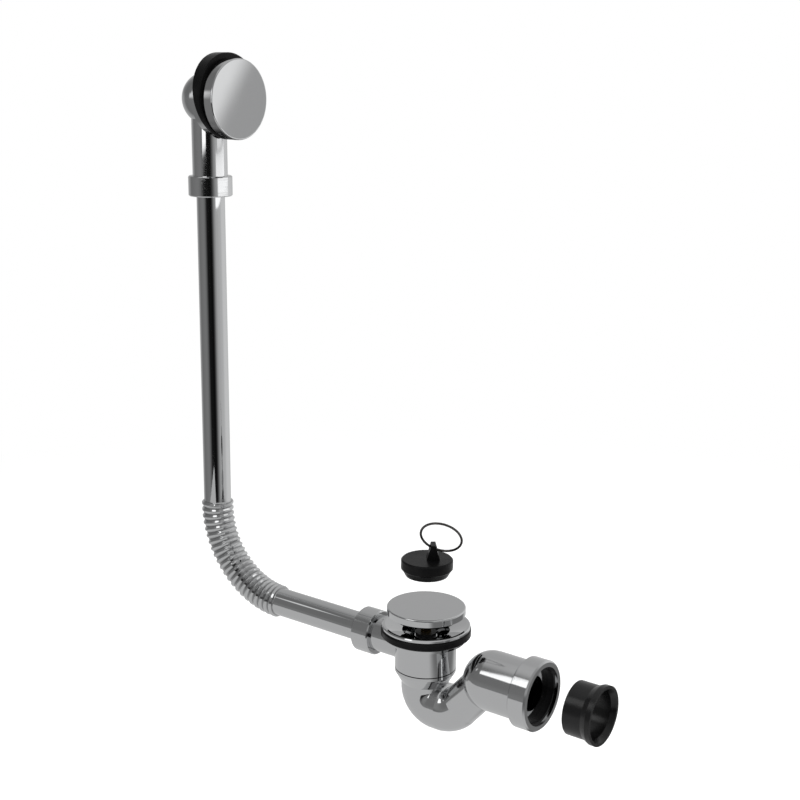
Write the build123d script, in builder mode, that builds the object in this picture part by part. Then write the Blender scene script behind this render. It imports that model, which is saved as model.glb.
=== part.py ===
from build123d import *
import os
from math import cos, degrees, pi, radians, sin, tan

os.makedirs("parts", exist_ok=True)

# Bath waste and overflow set with a push-open waste and a shallow trap.
# The origin is on the waste axis, at the plane where the bath's floor is clamped.
# X runs from the overflow to the trap's outlet, Z is up. All sizes are millimetres.

# Layout of the set
reach = 212.5  # waste axis to the axis of the upright pipe
overflow_height = 379.0  # centre of the overflow above the bath's floor
pipe_drop = 16.6  # axis of the lying pipe below the bath's floor
outlet_drop = 26.0  # axis of the trap's outlet below the bath's floor

# Fits
thread_gap = 0.1
slip_gap = 0.15
running_gap = 0.05
seat_gap = 0.3

# Overflow pipe, one tube with a ribbed bend
pipe_radius = 11.0
pipe_wall = 0.9
bend_radius = 68.4
rib_count = 22
rib_height = 1.9
rib_root = 0.7  # the tube is this much wider between the ribs
rib_lead_up = 4.9  # ribbed length above the bend
rib_lead_across = 0.8  # ribbed length after the bend
pipe_insertion = 15.0

# Compression joints at both ends of the pipe
joint_nut_radius = 17.1
joint_nut_length = 15.6
joint_nut_lip = 3.0
joint_seal_length = 5.0
collar_radius = 13.6
nut_chamfer = 0.8

# Overflow head
elbow_radius = 20.3
elbow_wall = 2.6
neck_length = 53.8  # from the dome's underside to the foot of its nut
elbow_flange_radius = 28.0
elbow_flange_thickness = 2.5
elbow_flare_length = 6.0
elbow_flare = 4.5
head_seat = 22.4  # bath side of the overflow gasket, from the pipe's axis
overflow_gasket_radius = 32.3
overflow_gasket_thickness = 6.2
overflow_gasket_rise = 2.2  # the gasket is cut off centre
overflow_gasket_wedge = 8.5  # degrees, thicker above, for a sloping wall
washer_thickness = 0.8
insert_flange_radius = 29.0
insert_flange_thickness = 1.5
insert_wall = 2.0
insert_length = 13.0
web_width = 3.0
web_depth = 3.5
overflow_hub_radius = 5.5
overflow_stud_radius = 2.5
overflow_cap_radius = 30.2
overflow_cap_depth = 8.0
cap_wall = 1.5
cap_edge = 1.1
overflow_boss_radius = 5.0
intake_width = 9.0
intake_depth = 4.6
intake_count = 3
intake_spacing = 26.0

# Waste flange, cap and gaskets
flange_radius = 33.0
flange_rim = 2.0
flange_edge = 0.7
dish_radius = 30.6
dish_slope = 0.38  # fall of the dish for each millimetre towards the waste's axis
seat_inner_radius = 28.0
tail_wall = 2.4
tail_length = 12.5
body_gasket_radius = 33.6
body_gasket_thickness = 5.6
waste_cap_radius = 29.3
waste_cap_depth = 5.4
waste_cap_top = 16.8
cap_boss_radius = 6.0
cap_boss_depth = 3.4
cap_travel = 8.0

# Push cartridge
stem_radius = 4.0
stem_screw_radius = 2.9
stem_screw_length = 2.8
stem_foot_radius = 4.7
stem_foot_length = 2.0
hub_radius = 8.4
hub_height = 6.0
cartridge_radius = 6.0
cartridge_collar_radius = 7.8
cartridge_collar_height = 3.0
cartridge_length = 31.0
guide_length = 11.0
chamber_radius = 5.0
cartridge_base_thickness = 2.0
spring_coil_radius = 3.9
spring_wire_radius = 0.45
spring_turns = 5

# Waste body
body_radius = 22.9
body_wall = 2.6
body_flange_radius = 30.0
body_flange_thickness = 3.0
body_bottom = 30.9  # depth of the body's lower face
branch_bore_radius = 9.8
branch_nut_face = 58.8  # waste axis to the outer face of the branch nut

# Trap
trap_dip_radius = 17.9
trap_leg_radius = 15.2
trap_wall = 2.4
trap_floor_drop = 33.1  # lowest axis of the trap below the outlet's axis
trap_dip_bend = 13.2
trap_rise_bend = 18.5
trap_crest_bend = 16.0
trap_slope = 49.0  # degrees of the rising leg above the level
trap_knee = 28.0  # waste axis to where the leg's axis would meet the lowest axis
trap_dome_start = 60.0  # waste axis to the middle of the crest's dome
trap_seal_thickness = 0.8
trap_spigot_length = 5.4
trap_cup_edge = 2.2
trap_cup_taper = 8.6  # height over which the cup narrows to the trap
outlet_collar_radius = 21.9
outlet_thread_radius = 23.0
outlet_nut_radius = 25.8
outlet_nut_length = 14.2
outlet_mouth = 101.8  # waste axis to the mouth of the outlet nut
outlet_mouth_radius = 21.4
outlet_nut_lip = 3.0
outlet_nut_bevel = 1.2
outlet_seal_length = 5.0
outlet_bore_radius = 20.3

# Rubber outlet sleeve, shown beside the trap's outlet
sleeve_start = 128.2
sleeve_length = 22.0
sleeve_radius = 19.4
sleeve_wall = 2.4
sleeve_lip_radius = 21.4
sleeve_lip_length = 3.6
sleeve_flare_length = 4.4

# Rubber plug with its pull ring, shown above the waste
plug_top = 53.9
plug_radius = 19.2
plug_height = 12.6
plug_rim_height = 8.2
plug_bottom_radius = 15.8
lug_base_width = 9.8
lug_top_width = 3.4
lug_depth = 10.0
lug_height = 11.3
lug_offset = 4.4  # the lug stands this far off the plug's axis
lug_hole_radius = 2.5
lug_hole_height = 8.1
ring_radius = 15.2
ring_wire_radius = 0.9
ring_heading = 37.0
ring_dip = 25.0
ring_lean = 34.5

# Places that several pieces share
pipe_z = -pipe_drop
outlet_z = -outlet_drop
pipe_bore_radius = pipe_radius - pipe_wall
socket_radius = pipe_radius + slip_gap
waste_axis = Axis.Z
upright_axis = Axis((-reach, 0, 0), (0, 0, 1))
lying_axis = Axis((0, 0, pipe_z), (1, 0, 0))
outlet_axis = Axis((0, 0, outlet_z), (1, 0, 0))
head_axis = Axis((-reach, 0, overflow_height), (1, 0, 0))
head_plane = Plane(origin=(-reach, 0, overflow_height), x_dir=(1, 0, 0), z_dir=(0, -1, 0))

# The overflow nut hangs below the elbow, with its lip at the bottom.
overflow_nut_bottom = overflow_height - elbow_radius - neck_length
overflow_neck_end = overflow_nut_bottom + joint_nut_lip + joint_seal_length
pipe_top = overflow_neck_end + pipe_insertion
branch_end = branch_nut_face - joint_nut_lip - joint_seal_length
pipe_end = branch_end - pipe_insertion

# Heights round the waste
flange_underside = washer_thickness
flange_top = flange_underside + flange_rim
gasket_bottom = -body_gasket_thickness
body_bore_radius = body_radius - body_wall
tail_radius = body_bore_radius - thread_gap
tail_inner = tail_radius - tail_wall
tail_bottom = -tail_length
hub_top = tail_bottom + hub_height
dish_bottom = flange_top - dish_slope * (dish_radius - tail_inner)
cap_underside = waste_cap_top - cap_wall
boss_bottom = cap_underside - cap_boss_depth
housing_top = hub_top + cartridge_collar_height
housing_bottom = housing_top - cartridge_length
guide_bottom = housing_top - guide_length
foot_top = guide_bottom - seat_gap
base_top = housing_bottom + cartridge_base_thickness

# Places along the overflow head, measured from the pipe's axis
gasket_back = head_seat - overflow_gasket_thickness
wedge_slope = tan(radians(overflow_gasket_wedge))
elbow_flange_back = gasket_back - elbow_flange_thickness - wedge_slope * elbow_flange_radius
insert_seat = head_seat + washer_thickness
insert_front = insert_seat + insert_flange_thickness
chamber_bore = elbow_radius - elbow_wall
insert_radius = chamber_bore - thread_gap
insert_bore = insert_radius - insert_wall
insert_back = insert_front - insert_length
overflow_cap_back = insert_front + seat_gap

# Overflow pipe: upright tube, ribbed bend and lying tube in one piece
ribbed_length = rib_lead_up + bend_radius * pi / 2 + rib_lead_across
rib_pitch = ribbed_length / rib_count
bend_center = (-reach + bend_radius, 0, pipe_z + bend_radius)


def pipe_station(length):
    """Plane square to the pipe's axis, at a length along the ribbed stretch."""
    into_bend = length - rib_lead_up
    arc_length = bend_radius * pi / 2
    if into_bend <= 0:
        return Plane(
            origin=(-reach, 0, bend_center[2] - into_bend), x_dir=(-1, 0, 0), z_dir=(0, 0, -1)
        )
    if into_bend >= arc_length:
        return Plane(
            origin=(bend_center[0] + into_bend - arc_length, 0, pipe_z),
            x_dir=(0, 0, -1),
            z_dir=(1, 0, 0),
        )
    turn = into_bend / bend_radius
    out = (-cos(turn), 0, -sin(turn))
    origin = (bend_center[0] + bend_radius * out[0], 0, bend_center[2] + bend_radius * out[2])
    return Plane(origin=origin, x_dir=out, z_dir=(sin(turn), 0, -cos(turn)))


rib_shape = ((0.14, rib_root), (0.38, rib_height), (0.62, rib_height), (0.86, rib_root))
with BuildPart() as overflow_pipe:
    with BuildSketch(pipe_station(0)):
        Circle(pipe_radius)
    for rib in range(rib_count):
        for share, height in rib_shape:
            with BuildSketch(pipe_station((rib + share) * rib_pitch)):
                Circle(pipe_radius + height)
    with BuildSketch(pipe_station(ribbed_length)):
        Circle(pipe_radius)
    loft(ruled=True)
    with BuildSketch(pipe_station(0)):
        Circle(pipe_radius)
    extrude(amount=-(pipe_top - bend_center[2] - rib_lead_up))
    with BuildSketch(pipe_station(ribbed_length)):
        Circle(pipe_radius)
    extrude(amount=-pipe_end - bend_center[0] - rib_lead_across)
    with BuildLine(Plane.XZ) as pipe_path:
        upright = Line((-reach, pipe_top), (-reach, bend_center[2]))
        bend = JernArc(upright @ 1, upright % 1, bend_radius, 90)
        Line(bend @ 1, (-pipe_end, pipe_z))
    with BuildSketch(Plane(origin=(-reach, 0, pipe_top), z_dir=(0, 0, -1))):
        Circle(pipe_bore_radius)
    sweep(path=pipe_path.line, mode=Mode.SUBTRACT)
overflow_pipe.part.label = "overflow_pipe"
export_step(overflow_pipe.part, "parts/overflow_pipe.step")

# Union nut and cone seal at the top of the pipe
with BuildPart() as overflow_nut:
    with BuildSketch(Plane.XY.offset(overflow_nut_bottom)):
        with Locations((-reach, 0)):
            Circle(joint_nut_radius)
    extrude(amount=joint_nut_length)
    chamfer(overflow_nut.edges().filter_by(GeomType.CIRCLE), nut_chamfer)
    with BuildSketch(Plane.XY.offset(overflow_nut_bottom)):
        with Locations((-reach, 0)):
            Circle(socket_radius)
    extrude(amount=joint_nut_length, mode=Mode.SUBTRACT)
    with BuildSketch(Plane.XY.offset(overflow_nut_bottom + joint_nut_lip)):
        with Locations((-reach, 0)):
            Circle(collar_radius + thread_gap)
    extrude(amount=joint_nut_length, mode=Mode.SUBTRACT)
overflow_nut.part.label = "overflow_nut"
export_step(overflow_nut.part, "parts/overflow_nut.step")

seal_taper = 1.2
with BuildPart() as overflow_seal_ring:
    with BuildSketch(Plane.XZ):
        with BuildLine():
            Polyline(
                (-reach + pipe_radius + running_gap, overflow_nut_bottom + joint_nut_lip),
                (-reach + collar_radius, overflow_nut_bottom + joint_nut_lip),
                (-reach + collar_radius, overflow_neck_end - seal_taper),
                (-reach + collar_radius - seal_taper, overflow_neck_end),
                (-reach + pipe_radius + running_gap, overflow_neck_end),
                close=True,
            )
        make_face()
    revolve(axis=upright_axis)
overflow_seal_ring.part.label = "overflow_seal_ring"
export_step(overflow_seal_ring.part, "parts/overflow_seal_ring.step")

# Overflow elbow: a domed chamber behind the bath's wall, with a neck down to the pipe
wedge_span = overflow_gasket_radius + overflow_gasket_rise + 1
wedge_shift = wedge_slope * wedge_span


def wedge_line(front):
    """Outline, in the head's plane, of all that lies between the slanted seat and a front face."""
    return (
        (gasket_back - wedge_shift, wedge_span),
        (front, wedge_span),
        (front, -wedge_span),
        (gasket_back + wedge_shift, -wedge_span),
    )


with BuildPart() as overflow_elbow:
    with BuildSketch(head_plane):
        with BuildLine():
            dome = CenterArc((0, 0), elbow_radius, 90, 90)
            Polyline(
                dome @ 0,
                (elbow_flange_back - elbow_flare_length, elbow_radius),
                (elbow_flange_back, elbow_radius + elbow_flare),
                (elbow_flange_back, elbow_flange_radius),
                (head_seat, elbow_flange_radius),
                (head_seat, 0),
                (-elbow_radius, 0),
            )
        make_face()
    revolve(axis=head_axis)
    with BuildSketch(Plane.XY.offset(overflow_neck_end)):
        with Locations((-reach, 0)):
            Circle(collar_radius)
    extrude(amount=overflow_height - overflow_neck_end)
    with BuildSketch(head_plane):
        with BuildLine():
            hollow = CenterArc((0, 0), chamber_bore, 90, 90)
            Polyline(hollow @ 0, (head_seat, chamber_bore), (head_seat, 0), hollow @ 1)
        make_face()
    revolve(axis=head_axis, mode=Mode.SUBTRACT)
    with BuildSketch(head_plane):
        with BuildLine():
            Polyline(*wedge_line(head_seat + elbow_flange_thickness), close=True)
        make_face()
    extrude(amount=wedge_span, both=True, mode=Mode.SUBTRACT)
    with BuildSketch(Plane.XY.offset(overflow_neck_end)):
        with Locations((-reach, 0)):
            Circle(pipe_bore_radius)
    extrude(amount=overflow_height - overflow_neck_end, mode=Mode.SUBTRACT)
    with BuildSketch(Plane.XY.offset(overflow_neck_end)):
        with Locations((-reach, 0)):
            Circle(socket_radius)
    extrude(amount=pipe_insertion + slip_gap, mode=Mode.SUBTRACT)
overflow_elbow.part.label = "overflow_elbow"
export_step(overflow_elbow.part, "parts/overflow_elbow.step")

# Thick gasket outside the bath's wall and thin washer inside it
with BuildPart() as overflow_gasket:
    with BuildSketch(Plane.YZ.offset(-reach + head_seat)):
        with Locations((0, overflow_height + overflow_gasket_rise)):
            Circle(overflow_gasket_radius)
    extrude(amount=-2 * overflow_gasket_thickness)
    chamfer(overflow_gasket.edges().filter_by(GeomType.CIRCLE).sort_by(Axis.X)[-1], washer_thickness)
    with BuildSketch(head_plane):
        with BuildLine():
            Polyline(*wedge_line(head_seat), close=True)
        make_face()
    extrude(amount=wedge_span, both=True, mode=Mode.INTERSECT)
    with BuildSketch(Plane.YZ.offset(-reach + head_seat)):
        with Locations((0, overflow_height)):
            Circle(chamber_bore)
    extrude(amount=-2 * overflow_gasket_thickness, mode=Mode.SUBTRACT)
overflow_gasket.part.label = "overflow_gasket"
export_step(overflow_gasket.part, "parts/overflow_gasket.step")

with BuildPart() as overflow_washer:
    with BuildSketch(Plane.YZ.offset(-reach + head_seat)):
        with Locations((0, overflow_height)):
            Circle(insert_flange_radius)
            Circle(chamber_bore, mode=Mode.SUBTRACT)
    extrude(amount=washer_thickness)
overflow_washer.part.label = "overflow_washer"
export_step(overflow_washer.part, "parts/overflow_washer.step")

# Threaded insert that clamps the elbow to the wall, with a cross that holds the stud
with BuildPart() as overflow_insert:
    with BuildSketch(head_plane):
        with BuildLine():
            Polyline(
                (insert_back, insert_bore),
                (insert_front, insert_bore),
                (insert_front, insert_flange_radius),
                (insert_seat, insert_flange_radius),
                (insert_seat, insert_radius),
                (insert_back, insert_radius),
                close=True,
            )
        make_face()
    revolve(axis=head_axis)
    with BuildSketch(Plane.YZ.offset(-reach + insert_front - web_depth)):
        with Locations((0, overflow_height)):
            Rectangle(2 * insert_bore + insert_wall, web_width)
            Rectangle(web_width, 2 * insert_bore + insert_wall)
            Circle(overflow_hub_radius)
            Circle(overflow_stud_radius + thread_gap, mode=Mode.SUBTRACT)
    extrude(amount=web_depth)
overflow_insert.part.label = "overflow_insert"
export_step(overflow_insert.part, "parts/overflow_insert.step")

# Overflow cap: a shallow cup with intake notches along its lower edge
with BuildPart() as overflow_cap:
    with BuildSketch(Plane.YZ.offset(-reach + overflow_cap_back)):
        with Locations((0, overflow_height)):
            Circle(overflow_cap_radius)
    extrude(amount=overflow_cap_depth)
    fillet(overflow_cap.edges().filter_by(GeomType.CIRCLE).sort_by(Axis.X)[-1], cap_edge)
    with BuildSketch(Plane.YZ.offset(-reach + overflow_cap_back)):
        with Locations((0, overflow_height)):
            Circle(overflow_cap_radius - cap_wall)
            Circle(overflow_boss_radius, mode=Mode.SUBTRACT)
    extrude(amount=overflow_cap_depth - cap_wall, mode=Mode.SUBTRACT)
    first_intake = -90 - intake_spacing * (intake_count - 1) / 2
    with BuildSketch(Plane.YZ.offset(-reach + overflow_cap_back)):
        with Locations((0, overflow_height)):
            with PolarLocations(
                overflow_cap_radius, intake_count, first_intake, intake_spacing * intake_count
            ):
                Rectangle(3 * cap_wall, intake_width)
    extrude(amount=intake_depth, mode=Mode.SUBTRACT)
    with BuildSketch(Plane.YZ.offset(-reach + overflow_cap_back)):
        with Locations((0, overflow_height)):
            Circle(overflow_stud_radius + thread_gap)
    extrude(amount=overflow_cap_depth - 2 * cap_wall, mode=Mode.SUBTRACT)
overflow_cap.part.label = "overflow_cap"
export_step(overflow_cap.part, "parts/overflow_cap.step")

# Threaded stud between the insert's hub and the cap's boss
with BuildPart() as overflow_stud:
    with BuildSketch(Plane.YZ.offset(-reach + insert_front - web_depth)):
        with Locations((0, overflow_height)):
            Circle(overflow_stud_radius)
    extrude(amount=web_depth + seat_gap + overflow_cap_depth - 2 * cap_wall)
overflow_stud.part.label = "overflow_stud"
export_step(overflow_stud.part, "parts/overflow_stud.step")

# Union nut and cone seal where the pipe enters the waste body
with BuildPart() as branch_nut:
    with BuildSketch(Plane.YZ.offset(-branch_nut_face)):
        with Locations((0, pipe_z)):
            Circle(joint_nut_radius)
    extrude(amount=joint_nut_length)
    chamfer(branch_nut.edges().filter_by(GeomType.CIRCLE), nut_chamfer)
    with BuildSketch(Plane.YZ.offset(-branch_nut_face)):
        with Locations((0, pipe_z)):
            Circle(socket_radius)
    extrude(amount=joint_nut_length, mode=Mode.SUBTRACT)
    with BuildSketch(Plane.YZ.offset(-branch_nut_face + joint_nut_lip)):
        with Locations((0, pipe_z)):
            Circle(collar_radius + thread_gap)
    extrude(amount=joint_nut_length, mode=Mode.SUBTRACT)
branch_nut.part.label = "branch_nut"
export_step(branch_nut.part, "parts/branch_nut.step")

with BuildPart() as branch_seal_ring:
    with BuildSketch(Plane.XZ):
        with BuildLine():
            Polyline(
                (-branch_nut_face + joint_nut_lip, pipe_z + pipe_radius + running_gap),
                (-branch_nut_face + joint_nut_lip, pipe_z + collar_radius),
                (-branch_end - seal_taper, pipe_z + collar_radius),
                (-branch_end, pipe_z + collar_radius - seal_taper),
                (-branch_end, pipe_z + pipe_radius + running_gap),
                close=True,
            )
        make_face()
    revolve(axis=lying_axis)
branch_seal_ring.part.label = "branch_seal_ring"
export_step(branch_seal_ring.part, "parts/branch_seal_ring.step")

# Waste body: a cast cup with a clamping flange and a side branch for the overflow
body_fillet = 2.0
with BuildPart() as waste_body:
    with BuildSketch(Plane.XZ):
        with BuildLine():
            Polyline(
                (0, -body_bottom),
                (body_radius, -body_bottom),
                (body_radius, gasket_bottom - body_flange_thickness - body_fillet),
                (body_radius + body_fillet, gasket_bottom - body_flange_thickness),
                (body_flange_radius, gasket_bottom - body_flange_thickness),
                (body_flange_radius, gasket_bottom),
                (0, gasket_bottom),
                close=True,
            )
        make_face()
    revolve(axis=waste_axis)
    with BuildSketch(Plane.YZ.offset(-branch_end)):
        with Locations((0, pipe_z)):
            Circle(collar_radius)
    extrude(amount=branch_end)
    with BuildSketch(Plane.XY.offset(gasket_bottom)):
        Circle(body_gasket_radius + seat_gap)
    extrude(amount=collar_radius, mode=Mode.SUBTRACT)
    with BuildSketch(Plane.XY.offset(-body_bottom)):
        Circle(body_bore_radius)
    extrude(amount=body_bottom, mode=Mode.SUBTRACT)
    with BuildSketch(Plane.YZ.offset(-branch_end)):
        with Locations((0, pipe_z)):
            Circle(branch_bore_radius)
    extrude(amount=branch_end, mode=Mode.SUBTRACT)
    with BuildSketch(Plane.YZ.offset(-branch_end)):
        with Locations((0, pipe_z)):
            Circle(socket_radius)
    extrude(amount=pipe_insertion + slip_gap, mode=Mode.SUBTRACT)
waste_body.part.label = "waste_body"
export_step(waste_body.part, "parts/waste_body.step")

# Thick gasket under the bath's floor and thin washer under the flange
with BuildPart() as body_gasket:
    with BuildSketch(Plane.XY.offset(gasket_bottom)):
        Circle(body_gasket_radius)
        Circle(seat_inner_radius - washer_thickness, mode=Mode.SUBTRACT)
    extrude(amount=body_gasket_thickness)
    chamfer(body_gasket.edges().filter_by(GeomType.CIRCLE).group_by(SortBy.RADIUS)[-1], washer_thickness)
body_gasket.part.label = "body_gasket"
export_step(body_gasket.part, "parts/body_gasket.step")

with BuildPart() as flange_washer:
    with BuildSketch(Plane.XY):
        Circle(flange_radius - flange_edge)
        Circle(seat_inner_radius + slip_gap, mode=Mode.SUBTRACT)
    extrude(amount=washer_thickness)
flange_washer.part.label = "flange_washer"
export_step(flange_washer.part, "parts/flange_washer.step")

# Waste flange: dished rim, threaded tail and a cross that holds the push cartridge
with BuildPart() as waste_flange:
    with BuildSketch(Plane.XZ):
        with BuildLine():
            Polyline(
                (tail_inner, tail_bottom),
                (tail_radius, tail_bottom),
                (tail_radius, gasket_bottom + running_gap),
                (seat_inner_radius, flange_underside),
                (flange_radius, flange_underside),
                (flange_radius, flange_top - flange_edge),
                (flange_radius - flange_edge, flange_top),
                (dish_radius, flange_top),
                (tail_inner, dish_bottom),
                close=True,
            )
        make_face()
    revolve(axis=waste_axis)
    with BuildSketch(Plane.XY.offset(tail_bottom)):
        Rectangle(2 * tail_inner + tail_wall, web_width)
        Rectangle(web_width, 2 * tail_inner + tail_wall)
    extrude(amount=web_depth)
    with BuildSketch(Plane.XY.offset(tail_bottom)):
        Circle(hub_radius)
    extrude(amount=hub_height)
    with BuildSketch(Plane.XY.offset(tail_bottom)):
        Circle(cartridge_radius + thread_gap)
    extrude(amount=hub_height, mode=Mode.SUBTRACT)
waste_flange.part.label = "waste_flange"
export_step(waste_flange.part, "parts/waste_flange.step")

# Waste cap: flat cup that stands open over the flange and pushes down to close
with BuildPart() as waste_cap:
    with BuildSketch(Plane.XY.offset(waste_cap_top - waste_cap_depth)):
        Circle(waste_cap_radius)
    extrude(amount=waste_cap_depth)
    fillet(waste_cap.edges().filter_by(GeomType.CIRCLE).sort_by(Axis.Z)[-1], cap_edge)
    with BuildSketch(Plane.XY.offset(waste_cap_top - waste_cap_depth)):
        Circle(waste_cap_radius - cap_wall)
    extrude(amount=waste_cap_depth - cap_wall, mode=Mode.SUBTRACT)
    with BuildSketch(Plane.XY.offset(boss_bottom)):
        Circle(cap_boss_radius)
        Circle(stem_screw_radius + thread_gap, mode=Mode.SUBTRACT)
    extrude(amount=cap_boss_depth)
waste_cap.part.label = "waste_cap"
export_step(waste_cap.part, "parts/waste_cap.step")

# Rubber seal under the cap, with a skirt that closes on the flange's dish
seal_web = 2.0
seal_lip = 1.8
seal_rim_radius = waste_cap_radius - cap_wall - seal_lip - seat_gap
dish_at_seal = dish_bottom + dish_slope * (seal_rim_radius - tail_inner)
seal_bottom = dish_at_seal + cap_travel + seat_gap
with BuildPart() as cap_seal:
    with BuildSketch(Plane.XZ):
        with BuildLine():
            Polyline(
                (cap_boss_radius + slip_gap, cap_underside - seal_web),
                (seal_rim_radius - 2 * seal_lip, cap_underside - seal_web),
                (seal_rim_radius - seal_lip, seal_bottom),
                (seal_rim_radius, seal_bottom),
                (seal_rim_radius + seal_lip, cap_underside),
                (cap_boss_radius + slip_gap, cap_underside),
                close=True,
            )
        make_face()
    revolve(axis=waste_axis)
cap_seal.part.label = "cap_seal"
export_step(cap_seal.part, "parts/cap_seal.step")

# Stem: screws into the cap, slides in the cartridge and stands on the spring
with BuildPart() as cap_stem:
    with BuildSketch(Plane.XZ):
        with BuildLine():
            Polyline(
                (0, foot_top - stem_foot_length),
                (stem_foot_radius, foot_top - stem_foot_length),
                (stem_foot_radius, foot_top),
                (stem_radius, foot_top),
                (stem_radius, boss_bottom),
                (stem_screw_radius, boss_bottom),
                (stem_screw_radius, boss_bottom + stem_screw_length),
                (0, boss_bottom + stem_screw_length),
                close=True,
            )
        make_face()
    revolve(axis=waste_axis)
cap_stem.part.label = "cap_stem"
export_step(cap_stem.part, "parts/cap_stem.step")

# Push cartridge housing, its base and the spring
with BuildPart() as cartridge_housing:
    with BuildSketch(Plane.XZ):
        with BuildLine():
            Polyline(
                (stem_radius + running_gap, guide_bottom),
                (chamber_radius, guide_bottom),
                (chamber_radius, housing_bottom),
                (cartridge_radius, housing_bottom),
                (cartridge_radius, hub_top),
                (cartridge_collar_radius, hub_top),
                (cartridge_collar_radius, housing_top),
                (stem_radius + running_gap, housing_top),
                close=True,
            )
        make_face()
    revolve(axis=waste_axis)
cartridge_housing.part.label = "cartridge_housing"
export_step(cartridge_housing.part, "parts/cartridge_housing.step")

with BuildPart() as cartridge_base:
    with BuildSketch(Plane.XY.offset(housing_bottom)):
        Circle(chamber_radius - thread_gap)
    extrude(amount=cartridge_base_thickness)
cartridge_base.part.label = "cartridge_base"
export_step(cartridge_base.part, "parts/cartridge_base.step")

spring_low = base_top + spring_wire_radius
spring_high = foot_top - stem_foot_length - spring_wire_radius
spring_pitch = (spring_high - spring_low) / spring_turns
with BuildPart() as cap_spring:
    with BuildLine():
        coil = Helix(
            spring_pitch, spring_high - spring_low, spring_coil_radius, center=(0, 0, spring_low)
        )
    with BuildSketch(Plane(origin=coil @ 0, z_dir=coil % 0)):
        RegularPolygon(spring_wire_radius, 6)
    sweep(is_frenet=True)
cap_spring.part.label = "cap_spring"
export_step(cap_spring.part, "parts/cap_spring.step")

# Flat seal between the waste body and the trap
with BuildPart() as trap_seal:
    with BuildSketch(Plane.XY.offset(-body_bottom - trap_seal_thickness)):
        Circle(body_radius - thread_gap)
        Circle(body_bore_radius, mode=Mode.SUBTRACT)
    extrude(amount=trap_seal_thickness)
trap_seal.part.label = "trap_seal"
export_step(trap_seal.part, "parts/trap_seal.step")

# Trap: a cast tube that dips, rises and runs out level, with a cup at its inlet
trap_top = -body_bottom - trap_seal_thickness
leg_angle = radians(trap_slope)
trap_floor_z = outlet_z - trap_floor_drop
dip_start = trap_floor_z + trap_dip_bend
rise_start = trap_knee - trap_rise_bend * tan(leg_angle / 2)
leg_length = trap_floor_drop / sin(leg_angle)
leg_length -= (trap_rise_bend + trap_crest_bend) * tan(leg_angle / 2)
seal_start = outlet_mouth - outlet_nut_lip - outlet_seal_length
nut_back = outlet_mouth - outlet_nut_length
thread_start = nut_back + outlet_nut_bevel
with BuildPart() as trap_body:
    with BuildLine(Plane.XZ) as trap_path:
        inlet = Line((0, trap_top + trap_spigot_length), (0, dip_start))
        dip = JernArc(inlet @ 1, inlet % 1, trap_dip_bend, 90)
        floor_run = Line(dip @ 1, (rise_start, trap_floor_z))
        rise = JernArc(floor_run @ 1, floor_run % 1, trap_rise_bend, trap_slope)
        leg = PolarLine(rise @ 1, leg_length, trap_slope)
        crest = JernArc(leg @ 1, leg % 1, trap_crest_bend, -trap_slope)
        Line(crest @ 1, (seal_start, outlet_z))
    with BuildSketch(Plane.XY.offset(dip_start)):
        Circle(trap_dip_radius)
        with Locations((trap_dip_bend, 0)):
            Rectangle(2 * trap_dip_radius, 2 * trap_dip_radius, align=(Align.MIN, Align.CENTER), mode=Mode.SUBTRACT)
    revolve(axis=Axis((trap_dip_bend, 0, dip_start), (0, -1, 0)), revolution_arc=90)
    with BuildSketch(Plane.YZ.offset(trap_dip_bend)):
        with Locations((0, trap_floor_z)):
            Circle(trap_dip_radius)
    extrude(amount=rise_start - trap_dip_bend)
    rise_sections = [Plane(origin=rise @ end, z_dir=rise % end) for end in (0, 1)]
    for section, radius in zip(rise_sections, (trap_dip_radius, trap_leg_radius)):
        with BuildSketch(section):
            Circle(radius)
    sweep(path=rise, multisection=True)
    with BuildSketch(rise_sections[1]):
        Circle(trap_leg_radius)
    extrude(amount=leg_length + trap_crest_bend * tan(leg_angle / 2))
    with BuildSketch(Plane.XZ):
        with BuildLine():
            Polyline(
                (0, trap_top + trap_spigot_length),
                (tail_radius, trap_top + trap_spigot_length),
                (tail_radius, trap_top),
                (body_radius, trap_top),
                (body_radius, trap_top - trap_cup_edge),
                (trap_dip_radius, trap_top - trap_cup_edge - trap_cup_taper),
                (trap_dip_radius, dip_start),
                (0, dip_start),
                close=True,
            )
        make_face()
    revolve(axis=waste_axis)
    with BuildSketch(Plane.XZ):
        with BuildLine():
            dome = CenterArc((trap_dome_start, outlet_z), outlet_collar_radius, 90, 90)
            Polyline(
                dome @ 0,
                (thread_start, outlet_z + outlet_collar_radius),
                (thread_start, outlet_z + outlet_thread_radius),
                (seal_start, outlet_z + outlet_thread_radius),
                (seal_start, outlet_z),
                dome @ 1,
            )
        make_face()
    revolve(axis=outlet_axis)
    with BuildSketch(Plane(origin=inlet @ 0, z_dir=(0, 0, -1))):
        Circle(trap_leg_radius - trap_wall)
    sweep(path=trap_path.line, mode=Mode.SUBTRACT)
trap_body.part.label = "trap_body"
export_step(trap_body.part, "parts/trap_body.step")

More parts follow.
